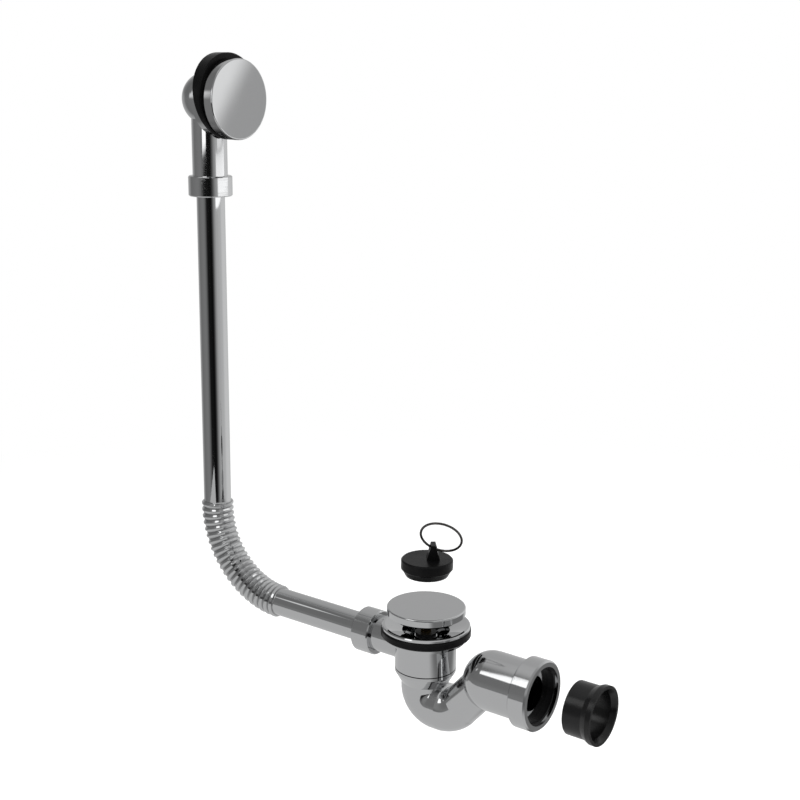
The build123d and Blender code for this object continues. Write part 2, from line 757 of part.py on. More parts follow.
# Outlet nut with its rubber seal
with BuildPart() as outlet_nut:
    with BuildSketch(Plane.XZ):
        with BuildLine():
            Polyline(
                (nut_back, outlet_z + outlet_collar_radius + thread_gap),
                (nut_back, outlet_z + outlet_nut_radius - nut_chamfer),
                (nut_back + nut_chamfer, outlet_z + outlet_nut_radius),
                (outlet_mouth - outlet_nut_bevel, outlet_z + outlet_nut_radius),
                (outlet_mouth, outlet_z + outlet_nut_radius - outlet_nut_bevel),
                (outlet_mouth, outlet_z + outlet_mouth_radius),
                (outlet_mouth - outlet_nut_lip, outlet_z + outlet_mouth_radius),
                (outlet_mouth - outlet_nut_lip, outlet_z + outlet_thread_radius + thread_gap),
                (thread_start - thread_gap, outlet_z + outlet_thread_radius + thread_gap),
                (thread_start - thread_gap, outlet_z + outlet_collar_radius + thread_gap),
                close=True,
            )
        make_face()
    revolve(axis=outlet_axis)
outlet_nut.part.label = "outlet_nut"
export_step(outlet_nut.part, "parts/outlet_nut.step")

with BuildPart() as outlet_seal:
    with BuildSketch(Plane.YZ.offset(seal_start)):
        with Locations((0, outlet_z)):
            Circle(outlet_thread_radius)
            Circle(outlet_bore_radius, mode=Mode.SUBTRACT)
    extrude(amount=outlet_seal_length)
outlet_seal.part.label = "outlet_seal"
export_step(outlet_seal.part, "parts/outlet_seal.step")

# Rubber sleeve that adapts the outlet to the waste pipe
sleeve_end = sleeve_start + sleeve_length
with BuildPart() as outlet_sleeve:
    with BuildSketch(Plane.XZ):
        with BuildLine():
            Polyline(
                (sleeve_start, outlet_z + sleeve_radius - sleeve_wall),
                (sleeve_start, outlet_z + sleeve_radius),
                (sleeve_end - sleeve_lip_length - sleeve_flare_length, outlet_z + sleeve_radius),
                (sleeve_end - sleeve_lip_length, outlet_z + sleeve_lip_radius),
                (sleeve_end, outlet_z + sleeve_lip_radius),
                (sleeve_end, outlet_z + sleeve_lip_radius - sleeve_wall),
                (sleeve_end - sleeve_lip_length, outlet_z + sleeve_radius - sleeve_wall),
                close=True,
            )
        make_face()
    revolve(axis=outlet_axis)
outlet_sleeve.part.label = "outlet_sleeve"
export_step(outlet_sleeve.part, "parts/outlet_sleeve.step")

# Plug: tapered rubber disc with a lug for its pull ring
plug_edge = 1.0
heading = radians(ring_heading)
lug_foot = Vector(lug_offset * cos(heading), lug_offset * sin(heading), plug_top)
lug_eye = lug_foot + Vector(0, 0, lug_hole_height)
with BuildPart() as bath_plug:
    with BuildSketch(Plane.XZ):
        with BuildLine():
            Polyline(
                (0, plug_top - plug_height),
                (plug_bottom_radius, plug_top - plug_height),
                (plug_radius - plug_edge, plug_top - plug_rim_height),
                (plug_radius, plug_top - plug_rim_height + plug_edge),
                (plug_radius, plug_top - plug_edge),
                (plug_radius - plug_edge, plug_top),
                (0, plug_top),
                close=True,
            )
        make_face()
    revolve(axis=waste_axis)
    lug_across = (cos(heading), sin(heading), 0)
    with BuildSketch(Plane(origin=lug_foot, x_dir=lug_across, z_dir=(sin(heading), -cos(heading), 0))):
        with BuildLine():
            Polyline(
                (-lug_base_width / 2, -plug_edge),
                (lug_base_width / 2, -plug_edge),
                (lug_base_width / 2, 0),
                (lug_top_width / 2, lug_height),
                (-lug_top_width / 2, lug_height),
                (-lug_base_width / 2, 0),
                close=True,
            )
        make_face()
    extrude(amount=lug_depth / 2, both=True)
    with BuildSketch(Plane(origin=lug_eye, z_dir=lug_across)):
        Circle(lug_hole_radius)
    extrude(amount=lug_base_width, both=True, mode=Mode.SUBTRACT)
bath_plug.part.label = "bath_plug"
export_step(bath_plug.part, "parts/bath_plug.step")

# Pull ring: wire ring through the lug, leaning over as it was left
dip_angle = radians(ring_dip)
lean_angle = radians(ring_lean)
hinge = Vector(cos(dip_angle) * cos(heading), cos(dip_angle) * sin(heading), -sin(dip_angle))
upward = Vector(sin(dip_angle) * cos(heading), sin(dip_angle) * sin(heading), cos(dip_angle))
sideward = Vector(sin(heading), -cos(heading), 0)
ring_out = upward * cos(lean_angle) + sideward * sin(lean_angle)
ring_center = lug_eye + ring_out * ring_radius
ring_plane = Plane(origin=ring_center, x_dir=ring_out, z_dir=hinge)
with BuildPart() as pull_ring:
    with BuildSketch(ring_plane):
        with Locations((ring_radius, 0)):
            Circle(ring_wire_radius)
    revolve(axis=Axis(ring_center, hinge.cross(ring_out)))
pull_ring.part.label = "pull_ring"
export_step(pull_ring.part, "parts/pull_ring.step")
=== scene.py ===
import math

import bpy
from mathutils import Matrix, Vector


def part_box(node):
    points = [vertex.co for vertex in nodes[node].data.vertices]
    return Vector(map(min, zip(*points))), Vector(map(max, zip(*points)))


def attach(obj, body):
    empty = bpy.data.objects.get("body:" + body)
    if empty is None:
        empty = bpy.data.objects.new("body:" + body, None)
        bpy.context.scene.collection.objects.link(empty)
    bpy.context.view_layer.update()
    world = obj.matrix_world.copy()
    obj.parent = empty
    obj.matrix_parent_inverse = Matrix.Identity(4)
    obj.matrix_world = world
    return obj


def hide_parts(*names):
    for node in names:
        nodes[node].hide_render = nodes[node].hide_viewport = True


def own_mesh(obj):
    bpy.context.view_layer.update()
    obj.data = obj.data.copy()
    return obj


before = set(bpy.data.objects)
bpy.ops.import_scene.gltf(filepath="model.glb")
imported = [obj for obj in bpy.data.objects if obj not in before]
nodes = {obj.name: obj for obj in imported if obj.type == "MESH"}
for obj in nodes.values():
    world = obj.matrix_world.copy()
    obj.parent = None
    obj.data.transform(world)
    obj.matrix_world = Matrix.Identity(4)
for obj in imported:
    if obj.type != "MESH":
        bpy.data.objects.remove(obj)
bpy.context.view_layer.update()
scene = bpy.context.scene
scene.view_settings.view_transform = "Standard"
print("frame loaded", len(nodes), "nodes")

# The camera stands where the photograph was taken from. Angles are in degrees, lengths in metres.
camera = {"azimuth": 36.57, "elevation": 13.86, "roll": 0.61, "lens": 60.99, "sensor": 36.0,
          "aside": -0.02116, "raised": 0.16237, "away": 1.00692, "lift": 0.0062, "nearest": 0.01}


def placeCamera(facts):
    azimuth, elevation, roll = (math.radians(facts[key]) for key in ("azimuth", "elevation", "roll"))
    towards = Vector((math.sin(azimuth) * math.cos(elevation),
                      -math.cos(azimuth) * math.cos(elevation), math.sin(elevation)))
    right = Vector((math.cos(azimuth), math.sin(azimuth), 0.0))
    up = towards.cross(right)
    place = right * facts["aside"] + up * facts["raised"] + towards * facts["away"]
    place.z += facts["lift"]
    sideways = right * math.cos(roll) + up * math.sin(roll)
    upright = up * math.cos(roll) - right * math.sin(roll)
    data = bpy.data.cameras.new("camera")
    data.lens = facts["lens"]
    data.sensor_width = facts["sensor"]
    data.clip_start = facts["nearest"]
    holder = bpy.data.objects.new("camera", data)
    scene.collection.objects.link(holder)
    turn = Matrix((sideways, upright, towards)).transposed().to_4x4()
    holder.matrix_world = Matrix.Translation(place) @ turn
    scene.camera = holder


placeCamera(camera)
print("camera placed")


def setSocket(tree, socket, value):
    if isinstance(value, bpy.types.NodeSocket):
        tree.links.new(value, socket)
    else:
        socket.default_value = value


# Sockets are named, or i0, i1 and so on by their number.
def addNode(tree, kind, settings=None, **values):
    node = tree.nodes.new(kind)
    for name, value in (settings or {}).items():
        setattr(node, name, value)
    for name, value in values.items():
        byNumber = name[0] == "i" and name[1:].isdigit()
        setSocket(tree, node.inputs[int(name[1:]) if byNumber else name], value)
    return node


def mathNode(tree, operation, *values):
    numbered = {"i" + str(k): value for k, value in enumerate(values)}
    return addNode(tree, "ShaderNodeMath", {"operation": operation}, **numbered).outputs[0]


def rangeNode(tree, value, before, after, soft=False):
    settings = {"interpolation_type": "SMOOTHSTEP"} if soft else {}
    return addNode(tree, "ShaderNodeMapRange", settings, i0=value, i1=before[0], i2=before[1], i3=after[0],
                   i4=after[1]).outputs[0]


def colourMix(tree, share, first, second):
    return addNode(tree, "ShaderNodeMix", {"data_type": "RGBA"}, i0=share, i6=first, i7=second).outputs[2]


def rampNode(tree, factor, stops):
    node = addNode(tree, "ShaderNodeValToRGB", i0=factor)
    node.color_ramp.interpolation = "EASE"
    marks = node.color_ramp.elements
    while len(marks) < len(stops):
        marks.new(0.5)
    for mark, (position, level) in zip(marks, stops):
        mark.position = position
        mark.color = (level, level, level, 1)
    return node.outputs[0]


def newGroup(name, inputs, outputs):
    tree = bpy.data.node_groups.new(name, "ShaderNodeTree")
    for label, kind, value in inputs:
        socket = tree.interface.new_socket(name=label, in_out="INPUT", socket_type="NodeSocket" + kind)
        if value is not None:
            socket.default_value = value
    for label, kind in outputs:
        tree.interface.new_socket(name=label, in_out="OUTPUT", socket_type="NodeSocket" + kind)
    return tree, tree.nodes.new("NodeGroupInput").outputs, tree.nodes.new("NodeGroupOutput").inputs


# polishWave gives the slow waves that hand polishing leaves, with a haze that comes and goes.
waveFacts = {"patchScale": 55.0, "hairStretch": (70.0, 900.0, 260.0), "hazeFrom": (0.3, 0.75),
             "shadeFrom": (0.25, 0.8), "shade": (1.0, 0.94), "depth": 0.0005}


def makePolishWave(facts):
    tree, given, out = newGroup(
        "polishWave",
        [("Place", "Vector", None), ("Wave Scale", "Float", 30.0), ("Wave Height", "Float", 0.3),
         ("Haze Low", "Float", 0.03), ("Haze High", "Float", 0.09), ("Hairline", "Float", 0.05)],
        [("Haze", "Float"), ("Shade", "Float"), ("Normal", "Vector")])
    place = given["Place"]
    slow = addNode(tree, "ShaderNodeTexNoise", i0=place, Scale=given["Wave Scale"], Detail=1.5, Roughness=0.4)
    patch = addNode(tree, "ShaderNodeTexNoise", i0=place, Scale=facts["patchScale"], Detail=4.0,
                    Roughness=0.6).outputs[0]
    stretched = addNode(tree, "ShaderNodeMapping", i0=place, Scale=facts["hairStretch"])
    hair = addNode(tree, "ShaderNodeTexNoise", i0=stretched.outputs[0], Scale=1.0, Detail=3.0, Roughness=0.7)
    haze = rangeNode(tree, patch, facts["hazeFrom"], (given["Haze Low"], given["Haze High"]))
    shade = rangeNode(tree, patch, facts["shadeFrom"], facts["shade"])
    fine = mathNode(tree, "MULTIPLY", hair.outputs[0], given["Hairline"])
    height = mathNode(tree, "ADD", slow.outputs[0], fine)
    bump = addNode(tree, "ShaderNodeBump", Strength=given["Wave Height"], Distance=facts["depth"],
                   Height=height)
    setSocket(tree, out["Haze"], haze)
    setSocket(tree, out["Shade"], shade)
    setSocket(tree, out["Normal"], bump.outputs[0])
    return tree


# turnedRings gives the fine rings that a lathe leaves, square to an axis.
def makeTurnedRings():
    tree, given, out = newGroup(
        "turnedRings",
        [("Place", "Vector", None), ("Axis", "Vector", (0.0, 0.0, 1.0)), ("Pitch", "Float", 2600.0),
         ("Depth", "Float", 0.04), ("Normal", "Vector", None)],
        [("Normal", "Vector")])
    along = addNode(tree, "ShaderNodeVectorMath", {"operation": "DOT_PRODUCT"}, i0=given["Place"],
                    i1=given["Axis"])
    step = mathNode(tree, "MULTIPLY", along.outputs["Value"], given["Pitch"])
    jitter = addNode(tree, "ShaderNodeTexNoise", {"noise_dimensions": "1D"}, W=step, Scale=0.7, Detail=3.0)
    bump = addNode(tree, "ShaderNodeBump", Strength=given["Depth"], Distance=0.0002, Height=jitter.outputs[0],
                   Normal=given["Normal"])
    setSocket(tree, out["Normal"], bump.outputs[0])
    return tree


# mouldGrain gives the fine grain and pores of moulded rubber or plastic, with a pale bloom in patches.
mouldFacts = {"patchScale": 70.0, "poreScale": 620.0, "poreSize": 0.22, "poreDepth": -0.5,
              "bloomFrom": (0.35, 0.75), "bloom": (0.0, 0.85), "glossFrom": (0.3, 0.7), "depth": 0.0002}


def makeMouldGrain(facts):
    tree, given, out = newGroup(
        "mouldGrain",
        [("Place", "Vector", None), ("Dark", "Color", (0.01, 0.01, 0.01, 1)),
         ("Pale", "Color", (0.03, 0.03, 0.03, 1)), ("Grain Scale", "Float", 1500.0),
         ("Grain Depth", "Float", 0.2), ("Gloss Low", "Float", 0.4), ("Gloss High", "Float", 0.6)],
        [("Colour", "Color"), ("Roughness", "Float"), ("Normal", "Vector")])
    place = given["Place"]
    patch = addNode(tree, "ShaderNodeTexNoise", i0=place, Scale=facts["patchScale"], Detail=5.0,
                    Roughness=0.65).outputs[0]
    grain = addNode(tree, "ShaderNodeTexNoise", i0=place, Scale=given["Grain Scale"], Detail=2.0)
    pores = addNode(tree, "ShaderNodeTexVoronoi", {"feature": "F1"}, i0=place, Scale=facts["poreScale"])
    fleck = rangeNode(tree, pores.outputs["Distance"], (0.0, facts["poreSize"]), (1.0, 0.0))
    spread = rangeNode(tree, patch, facts["bloomFrom"], facts["bloom"])
    gloss = rangeNode(tree, patch, facts["glossFrom"], (given["Gloss High"], given["Gloss Low"]))
    lower = mathNode(tree, "MULTIPLY", fleck, facts["poreDepth"])
    height = mathNode(tree, "ADD", grain.outputs[0], lower)
    bump = addNode(tree, "ShaderNodeBump", Strength=given["Grain Depth"], Distance=facts["depth"],
                   Height=height)
    setSocket(tree, out["Colour"], colourMix(tree, spread, given["Dark"], given["Pale"]))
    setSocket(tree, out["Roughness"], gloss)
    setSocket(tree, out["Normal"], bump.outputs[0])
    return tree


# ribRound turns the ribs' straight flanks, crests and valleys into one soft wave round the bend's centre.
# Half widths are shares of a rib's pitch. Over growing, in radians down the bend, the rounding rises to its
# level at the lower end.
ribFacts = {"halfCrest": 0.12, "halfValley": 0.14, "begin": (0.0, 0.1), "endOver": 0.02,
            "growing": (0.35, 1.0), "groove": (0.24, 0.02)}


def makeRibRound(facts):
    tree, given, out = newGroup(
        "ribRound",
        [("Place", "Vector", None), ("Centre", "Vector", (0.0, 0.0, 0.0)), ("Radius", "Float", 0.07),
         ("Pitch", "Float", 0.005), ("Lead", "Float", 0.005), ("Height", "Float", 0.0005),
         ("Crown", "Float", 0.29), ("Trough", "Float", 0.33), ("Lower End", "Float", 1.36),
         ("Normal", "Vector", None)],
        [("ValleyShade", "Float"), ("Normal", "Vector")])
    away = addNode(tree, "ShaderNodeVectorMath", {"operation": "SUBTRACT"}, i0=given["Centre"],
                   i1=given["Place"])
    parts = addNode(tree, "ShaderNodeSeparateXYZ", i0=away.outputs[0]).outputs
    angle = mathNode(tree, "ARCTAN2", parts[2], parts[0])
    length = mathNode(tree, "MULTIPLY_ADD", angle, given["Radius"], given["Lead"])
    turns = mathNode(tree, "DIVIDE", length, given["Pitch"])
    fromCrest = mathNode(tree, "ABSOLUTE", mathNode(tree, "SUBTRACT", mathNode(tree, "FRACT", turns), 0.5))
    fromValley = mathNode(tree, "SUBTRACT", 0.5, fromCrest)
    rounds = []
    for reach, half in ((fromCrest, facts["halfCrest"]), (fromValley, facts["halfValley"])):
        share = mathNode(tree, "DIVIDE", reach, half)
        rounds.append(mathNode(tree, "MINIMUM", mathNode(tree, "POWER", share, 2.0), 1.0))
    crest, valley = rounds
    flank = rangeNode(tree, fromCrest, (facts["halfCrest"], 0.5 - facts["halfValley"]), (0.0, 1.0))
    begin = rangeNode(tree, turns, facts["begin"], (0.0, 1.0))
    end = rangeNode(tree, angle, (math.pi / 2 + facts["endOver"], math.pi / 2), (0.0, 1.0))
    inside = mathNode(tree, "MULTIPLY", begin, end)
    shape = mathNode(tree, "SUBTRACT", flank, mathNode(tree, "MULTIPLY", crest, given["Crown"]))
    shape = mathNode(tree, "MULTIPLY_ADD", valley, given["Trough"], shape)
    growth = rangeNode(tree, angle, facts["growing"], (1.0, given["Lower End"]))
    shape = mathNode(tree, "MULTIPLY", mathNode(tree, "MULTIPLY", shape, inside), growth)
    bump = addNode(tree, "ShaderNodeBump", Strength=1.0, Distance=given["Height"], Height=shape,
                   Normal=given["Normal"])
    # The valley mask marks the grooves, where the chrome gets painted shade.
    deep = rangeNode(tree, fromValley, facts["groove"], (0.0, 1.0))
    setSocket(tree, out["ValleyShade"], mathNode(tree, "MULTIPLY", deep, inside))
    setSocket(tree, out["Normal"], bump.outputs[0])
    return tree


# The underside group paints what faces down darker, as painted shade, and leaves it hazy and unpolished, as
# plating does where nobody looks.
underFacts = {"facing": (-0.5, -0.8), "haze": 0.45}


def makeRawUnderside(facts):
    tree, given, out = newGroup(
        "shadedUnderside",
        [("Colour", "Color", (0.5, 0.5, 0.5, 1)), ("Haze", "Float", 0.05), ("Facing", "Vector", None),
         ("Raw", "Color", (0.03, 0.03, 0.03, 1))],
        [("Colour", "Color"), ("Haze", "Float")])
    facing = addNode(tree, "ShaderNodeSeparateXYZ", i0=given["Facing"])
    share = rangeNode(tree, facing.outputs[2], facts["facing"], (0.0, 1.0))
    haze = addNode(tree, "ShaderNodeMix", {"data_type": "FLOAT"}, i0=share, i2=given["Haze"],
                   i3=facts["haze"])
    # Painted shade: the colour turns to the shade colour where the surface faces down.
    setSocket(tree, out["Colour"], colourMix(tree, share, given["Colour"], given["Raw"]))
    setSocket(tree, out["Haze"], haze.outputs[0])
    return tree


polishWave = makePolishWave(waveFacts)
turnedRings = makeTurnedRings()
mouldGrain = makeMouldGrain(mouldFacts)
ribRound = makeRibRound(ribFacts)
shadedUnderside = makeRawUnderside(underFacts)
print("shared effects made")


def emptyMaterial(name):
    material = bpy.data.materials.new(name)
    material.use_nodes = True
    tree = material.node_tree
    tree.nodes.clear()
    surface = tree.nodes.new("ShaderNodeOutputMaterial").inputs[0]
    place = tree.nodes.new("ShaderNodeTexCoord").outputs["Object"]
    return material, tree, surface, place


def startMaterial(name):
    material, tree, surface, place = emptyMaterial(name)
    shader = tree.nodes.new("ShaderNodeBsdfPrincipled")
    tree.links.new(shader.outputs[0], surface)
    return material, tree, shader, place


def groupNode(tree, group, **values):
    node = tree.nodes.new("ShaderNodeGroup")
    node.node_tree = group
    for name, value in values.items():
        setSocket(tree, node.inputs[name.replace("_", " ")], value)
    return node.outputs


# Chrome, brass and steel: a polished metal that may have lathe rings, a ribbed bend with painted shade in its
# grooves, or an underside painted darker as shade.
def platedMetal(facts):
    material, tree, shader, place = startMaterial(facts["name"])
    wave = groupNode(tree, polishWave, Place=place, Wave_Scale=facts["waveScale"],
                     Wave_Height=facts["waveHeight"], Haze_Low=facts["haze"][0], Haze_High=facts["haze"][1],
                     Hairline=facts["hairline"])
    normal = wave["Normal"]
    if facts.get("axis"):
        normal = groupNode(tree, turnedRings, Place=place, Axis=facts["axis"], Depth=facts["ringDepth"],
                           Normal=normal)["Normal"]
    colour = colourMix(tree, wave["Shade"], (*facts["deep"], 1), (*facts["bright"], 1))
    haze = wave["Haze"]
    if facts.get("ribs"):
        ribs = groupNode(tree, ribRound, Place=place, Normal=normal, **facts["ribs"])
        normal = ribs["Normal"]
        # Painted shade: the grooves between the ribs are painted darker.
        colour = colourMix(tree, ribs["ValleyShade"], colour, (*facts["grooveShade"], 1))
    # Painted shade: what faces down is painted darker.
    if facts.get("under"):
        facing = tree.nodes.new("ShaderNodeTexCoord").outputs["Normal"]
        below = groupNode(tree, shadedUnderside, Colour=colour, Haze=haze, Facing=facing,
                          Raw=(*facts["under"], 1))
        colour, haze = below["Colour"], below["Haze"]
    tree.links.new(colour, shader.inputs["Base Color"])
    tree.links.new(haze, shader.inputs["Roughness"])
    tree.links.new(normal, shader.inputs["Normal"])
    shader.inputs["Metallic"].default_value = 1.0
    return material


def mouldedSoft(facts):
    material, tree, shader, place = startMaterial(facts["name"])
    grain = groupNode(tree, mouldGrain, Place=place, Dark=(*facts["dark"], 1), Pale=(*facts["pale"], 1),
                      Grain_Scale=facts["grainScale"], Grain_Depth=facts["grainDepth"],
                      Gloss_Low=facts["gloss"][0], Gloss_High=facts["gloss"][1])
    tree.links.new(grain["Colour"], shader.inputs["Base Color"])
    tree.links.new(grain["Roughness"], shader.inputs["Roughness"])
    tree.links.new(grain["Normal"], shader.inputs["Normal"])
    shader.inputs["Specular IOR Level"].default_value = facts["specular"]
    return material


# The ribs' centre, radius, pitch and lead are those of the bend, in metres, and the grooves' colour is
# painted shade.
tubeChrome = platedMetal({"name": "tubeChrome", "waveScale": 26.0, "waveHeight": 0.05, "haze": (0.03, 0.07),
                          "hairline": 0.02, "deep": (0.49, 0.495, 0.5), "bright": (0.585, 0.59, 0.595),
                          "ribs": {"Centre": (-0.1441, 0.0, 0.0518), "Radius": 0.0684, "Pitch": 0.00514,
                                   "Lead": 0.0049, "Height": 0.00055}, "grooveShade": (0.3, 0.303, 0.306)})
castChrome = platedMetal({"name": "castChrome", "waveScale": 42.0, "waveHeight": 0.16, "haze": (0.06, 0.12),
                          "hairline": 0.05, "deep": (0.48, 0.485, 0.49), "bright": (0.58, 0.585, 0.59)})
# The cap's under colour is painted shade for what faces down.
capChrome = platedMetal({"name": "capChrome", "waveScale": 20.0, "waveHeight": 0.03, "haze": (0.04, 0.08),
                         "hairline": 0.02, "deep": (0.5, 0.505, 0.51), "bright": (0.6, 0.605, 0.61),
                         "under": (0.02, 0.02, 0.021)})
nutFinish = {"waveScale": 30.0, "waveHeight": 0.05, "haze": (0.05, 0.1), "hairline": 0.03, "ringDepth": 0.12,
             "deep": (0.5, 0.505, 0.51), "bright": (0.59, 0.595, 0.6)}
nutAlongTube = platedMetal({"name": "nutAlongTube", "axis": (0.0, 0.0, 1.0), **nutFinish})
nutAlongOutlet = platedMetal({"name": "nutAlongOutlet", "axis": (1.0, 0.0, 0.0), **nutFinish})
stemBrass = platedMetal({"name": "stemBrass", "waveScale": 60.0, "waveHeight": 0.06, "haze": (0.16, 0.3),
                         "hairline": 0.12, "axis": (0.0, 0.0, 1.0), "ringDepth": 0.2,
                         "deep": (0.12, 0.085, 0.04), "bright": (0.2, 0.145, 0.07)})
springSteel = platedMetal({"name": "springSteel", "waveScale": 120.0, "waveHeight": 0.05,
                           "haze": (0.2, 0.34), "hairline": 0.1, "deep": (0.3, 0.3, 0.31),
                           "bright": (0.46, 0.46, 0.47)})
ringWire = platedMetal({"name": "ringWire", "waveScale": 140.0, "waveHeight": 0.08, "haze": (0.16, 0.3),
                        "hairline": 0.1, "deep": (0.05, 0.048, 0.046), "bright": (0.13, 0.125, 0.12)})
softRubber = mouldedSoft({"name": "softRubber", "dark": (0.0022, 0.0022, 0.0024),
                          "pale": (0.006, 0.006, 0.0062), "grainScale": 1400.0, "grainDepth": 0.3,
                          "gloss": (0.24, 0.38), "specular": 0.12})
sleeveRubber = mouldedSoft({"name": "sleeveRubber", "dark": (0.002, 0.002, 0.0022),
                            "pale": (0.005, 0.005, 0.0052), "grainScale": 1400.0, "grainDepth": 0.16,
                            "gloss": (0.2, 0.3), "specular": 0.38})
housingPlastic = mouldedSoft({"name": "housingPlastic", "dark": (0.012, 0.012, 0.0125),
                              "pale": (0.022, 0.022, 0.023), "grainScale": 900.0, "grainDepth": 0.12,
                              "gloss": (0.34, 0.48), "specular": 0.35})

# What isn't named here is rubber.
finishes = {
    "overflow_pipe": tubeChrome, "overflow_elbow": castChrome, "overflow_nut": nutAlongTube,
    "branch_nut": nutAlongOutlet, "waste_body": castChrome, "waste_flange": capChrome,
    "waste_cap": capChrome, "overflow_cap": capChrome, "trap_body": castChrome,
    "outlet_nut": nutAlongOutlet, "cap_stem": stemBrass, "overflow_insert": castChrome,
    "overflow_stud": springSteel, "cap_spring": springSteel, "cartridge_housing": housingPlastic,
    "cartridge_base": housingPlastic, "pull_ring": ringWire, "outlet_sleeve": sleeveRubber,
}
for name, node in nodes.items():
    for slot in node.material_slots:
        slot.material = finishes.get(name, softRubber)
print("materials given to", len(nodes), "nodes")


def addMesh(name, points, faces, material):
    mesh = bpy.data.meshes.new(name)
    mesh.from_pydata(points, [], faces)
    mesh.materials.append(material)
    thing = bpy.data.objects.new(name, mesh)
    scene.collection.objects.link(thing)
    return thing


# The spring under the push cap, as a wire with closed ends.
# closed is the share of a turn at each end that lies flat, and ease the play between those coils.
spring = {"turns": 5, "wire": 0.00045, "radius": 0.0039, "closed": 0.9, "ease": 1.05, "around": 12,
          "steps": 36, "travel": 0.008}


def makeSpring(facts):
    lowest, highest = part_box("cap_spring")
    low, high = lowest.z + facts["wire"], highest.z - facts["wire"]
    total, around = facts["turns"] * facts["steps"], facts["around"]
    closed = facts["closed"] / facts["turns"]
    coil = 2 * facts["wire"] * facts["ease"]
    points, faces = [], []
    for k in range(total + 1):
        share = k / total
        angle = 2 * math.pi * facts["turns"] * share
        climb = min(1.0, max(0.0, (share - closed) / (1 - 2 * closed)))
        height = low + coil * min(share, closed) / closed
        height += (high - low - 2 * coil) * climb + coil * max(0.0, share - 1 + closed) / closed
        for side in range(around):
            turn = 2 * math.pi * side / around
            reach = facts["radius"] + facts["wire"] * math.cos(turn)
            points.append((reach * math.cos(angle), reach * math.sin(angle),
                           height + facts["wire"] * math.sin(turn)))
    for k in range(total):
        for side in range(around):
            after = (side + 1) % around
            faces.append((k * around + side, (k + 1) * around + side, (k + 1) * around + after,
                          k * around + after))
    faces.append(tuple(range(around)))
    faces.append(tuple(reversed(range(total * around, (total + 1) * around))))
    wire = addMesh("springWire", points, faces, springSteel)
    wire.data.shade_smooth()
    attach(wire, "set")
    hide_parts("cap_spring")
    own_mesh(wire)


makeSpring(spring)
print("spring wound")

# The floor lies well below, since the set hangs as if fixed to its bath. Away from the set it fades into
# the white of the studio.
floorFacts = {"level": -0.2, "half": 6.0, "colour": (0.93, 0.93, 0.93), "lift": 0.16, "fade": (0.45, 1.3),
              "cloudFrom": (0.3, 0.7), "cloud": (0.985, 1.0)}


def makeFloor(facts):
    half, level = facts["half"], facts["level"]
    material, tree, surface, place = emptyMaterial("floorPaint")
    cloud = addNode(tree, "ShaderNodeTexNoise", i0=place, Scale=3.0, Detail=3.0)
    tone = rangeNode(tree, cloud.outputs[0], facts["cloudFrom"], facts["cloud"])
    paint = addNode(tree, "ShaderNodeMix", {"data_type": "RGBA", "blend_type": "MULTIPLY"}, i0=1.0,
                    i6=(*facts["colour"], 1), i7=tone)
    matt = addNode(tree, "ShaderNodeBsdfDiffuse", Color=paint.outputs[2])
    lift = addNode(tree, "ShaderNodeEmission", Strength=facts["lift"])
    raised = addNode(tree, "ShaderNodeAddShader", i0=matt.outputs[0], i1=lift.outputs[0])
    white = addNode(tree, "ShaderNodeEmission", Strength=1.0)
    reach = addNode(tree, "ShaderNodeVectorMath", {"operation": "LENGTH"}, i0=place)
    fade = rangeNode(tree, reach.outputs["Value"], facts["fade"], (0.0, 1.0), soft=True)
    seen = addNode(tree, "ShaderNodeMixShader", i0=fade, i1=raised.outputs[0], i2=white.outputs[0])
    light = tree.nodes.new("ShaderNodeLightPath")
    last = addNode(tree, "ShaderNodeMixShader", i0=light.outputs["Is Camera Ray"], i1=matt.outputs[0],
                   i2=seen.outputs[0])
    tree.links.new(last.outputs[0], surface)
    corners = [(-half, -half, level), (half, -half, level), (half, half, level), (-half, half, level)]
    floor = addMesh("floor", corners, [(0, 1, 2, 3)], material)
    floor.visible_glossy = False


def onlyMirrored(thing):
    for way in ("visible_camera", "visible_diffuse", "visible_shadow", "visible_transmission"):
        setattr(thing, way, False)


# A pale sheet above the floor that only shows in the chrome, with its edge curled up on the camera's left,
# one end darker and a shade spot beyond the outlet. Angles of the curl are in degrees from the camera.
sheetFacts = {"rise": 0.001, "level": 0.64, "around": 96,
              "rings": (0.0, 0.1, 0.2, 0.3, 0.38, 0.45, 0.5, 0.54, 0.57, 0.59, 0.6),
              "curlStart": 0.4, "curlHeight": 0.1, "curlMiddle": -68, "curlHalf": 48,
              "endTurn": math.radians(20), "end": (0.17, 0.33), "endShare": 0.35,
              "shade": (0.13, 0.09), "shadeReach": (0.03, 0.1), "shadeShare": 0.3}


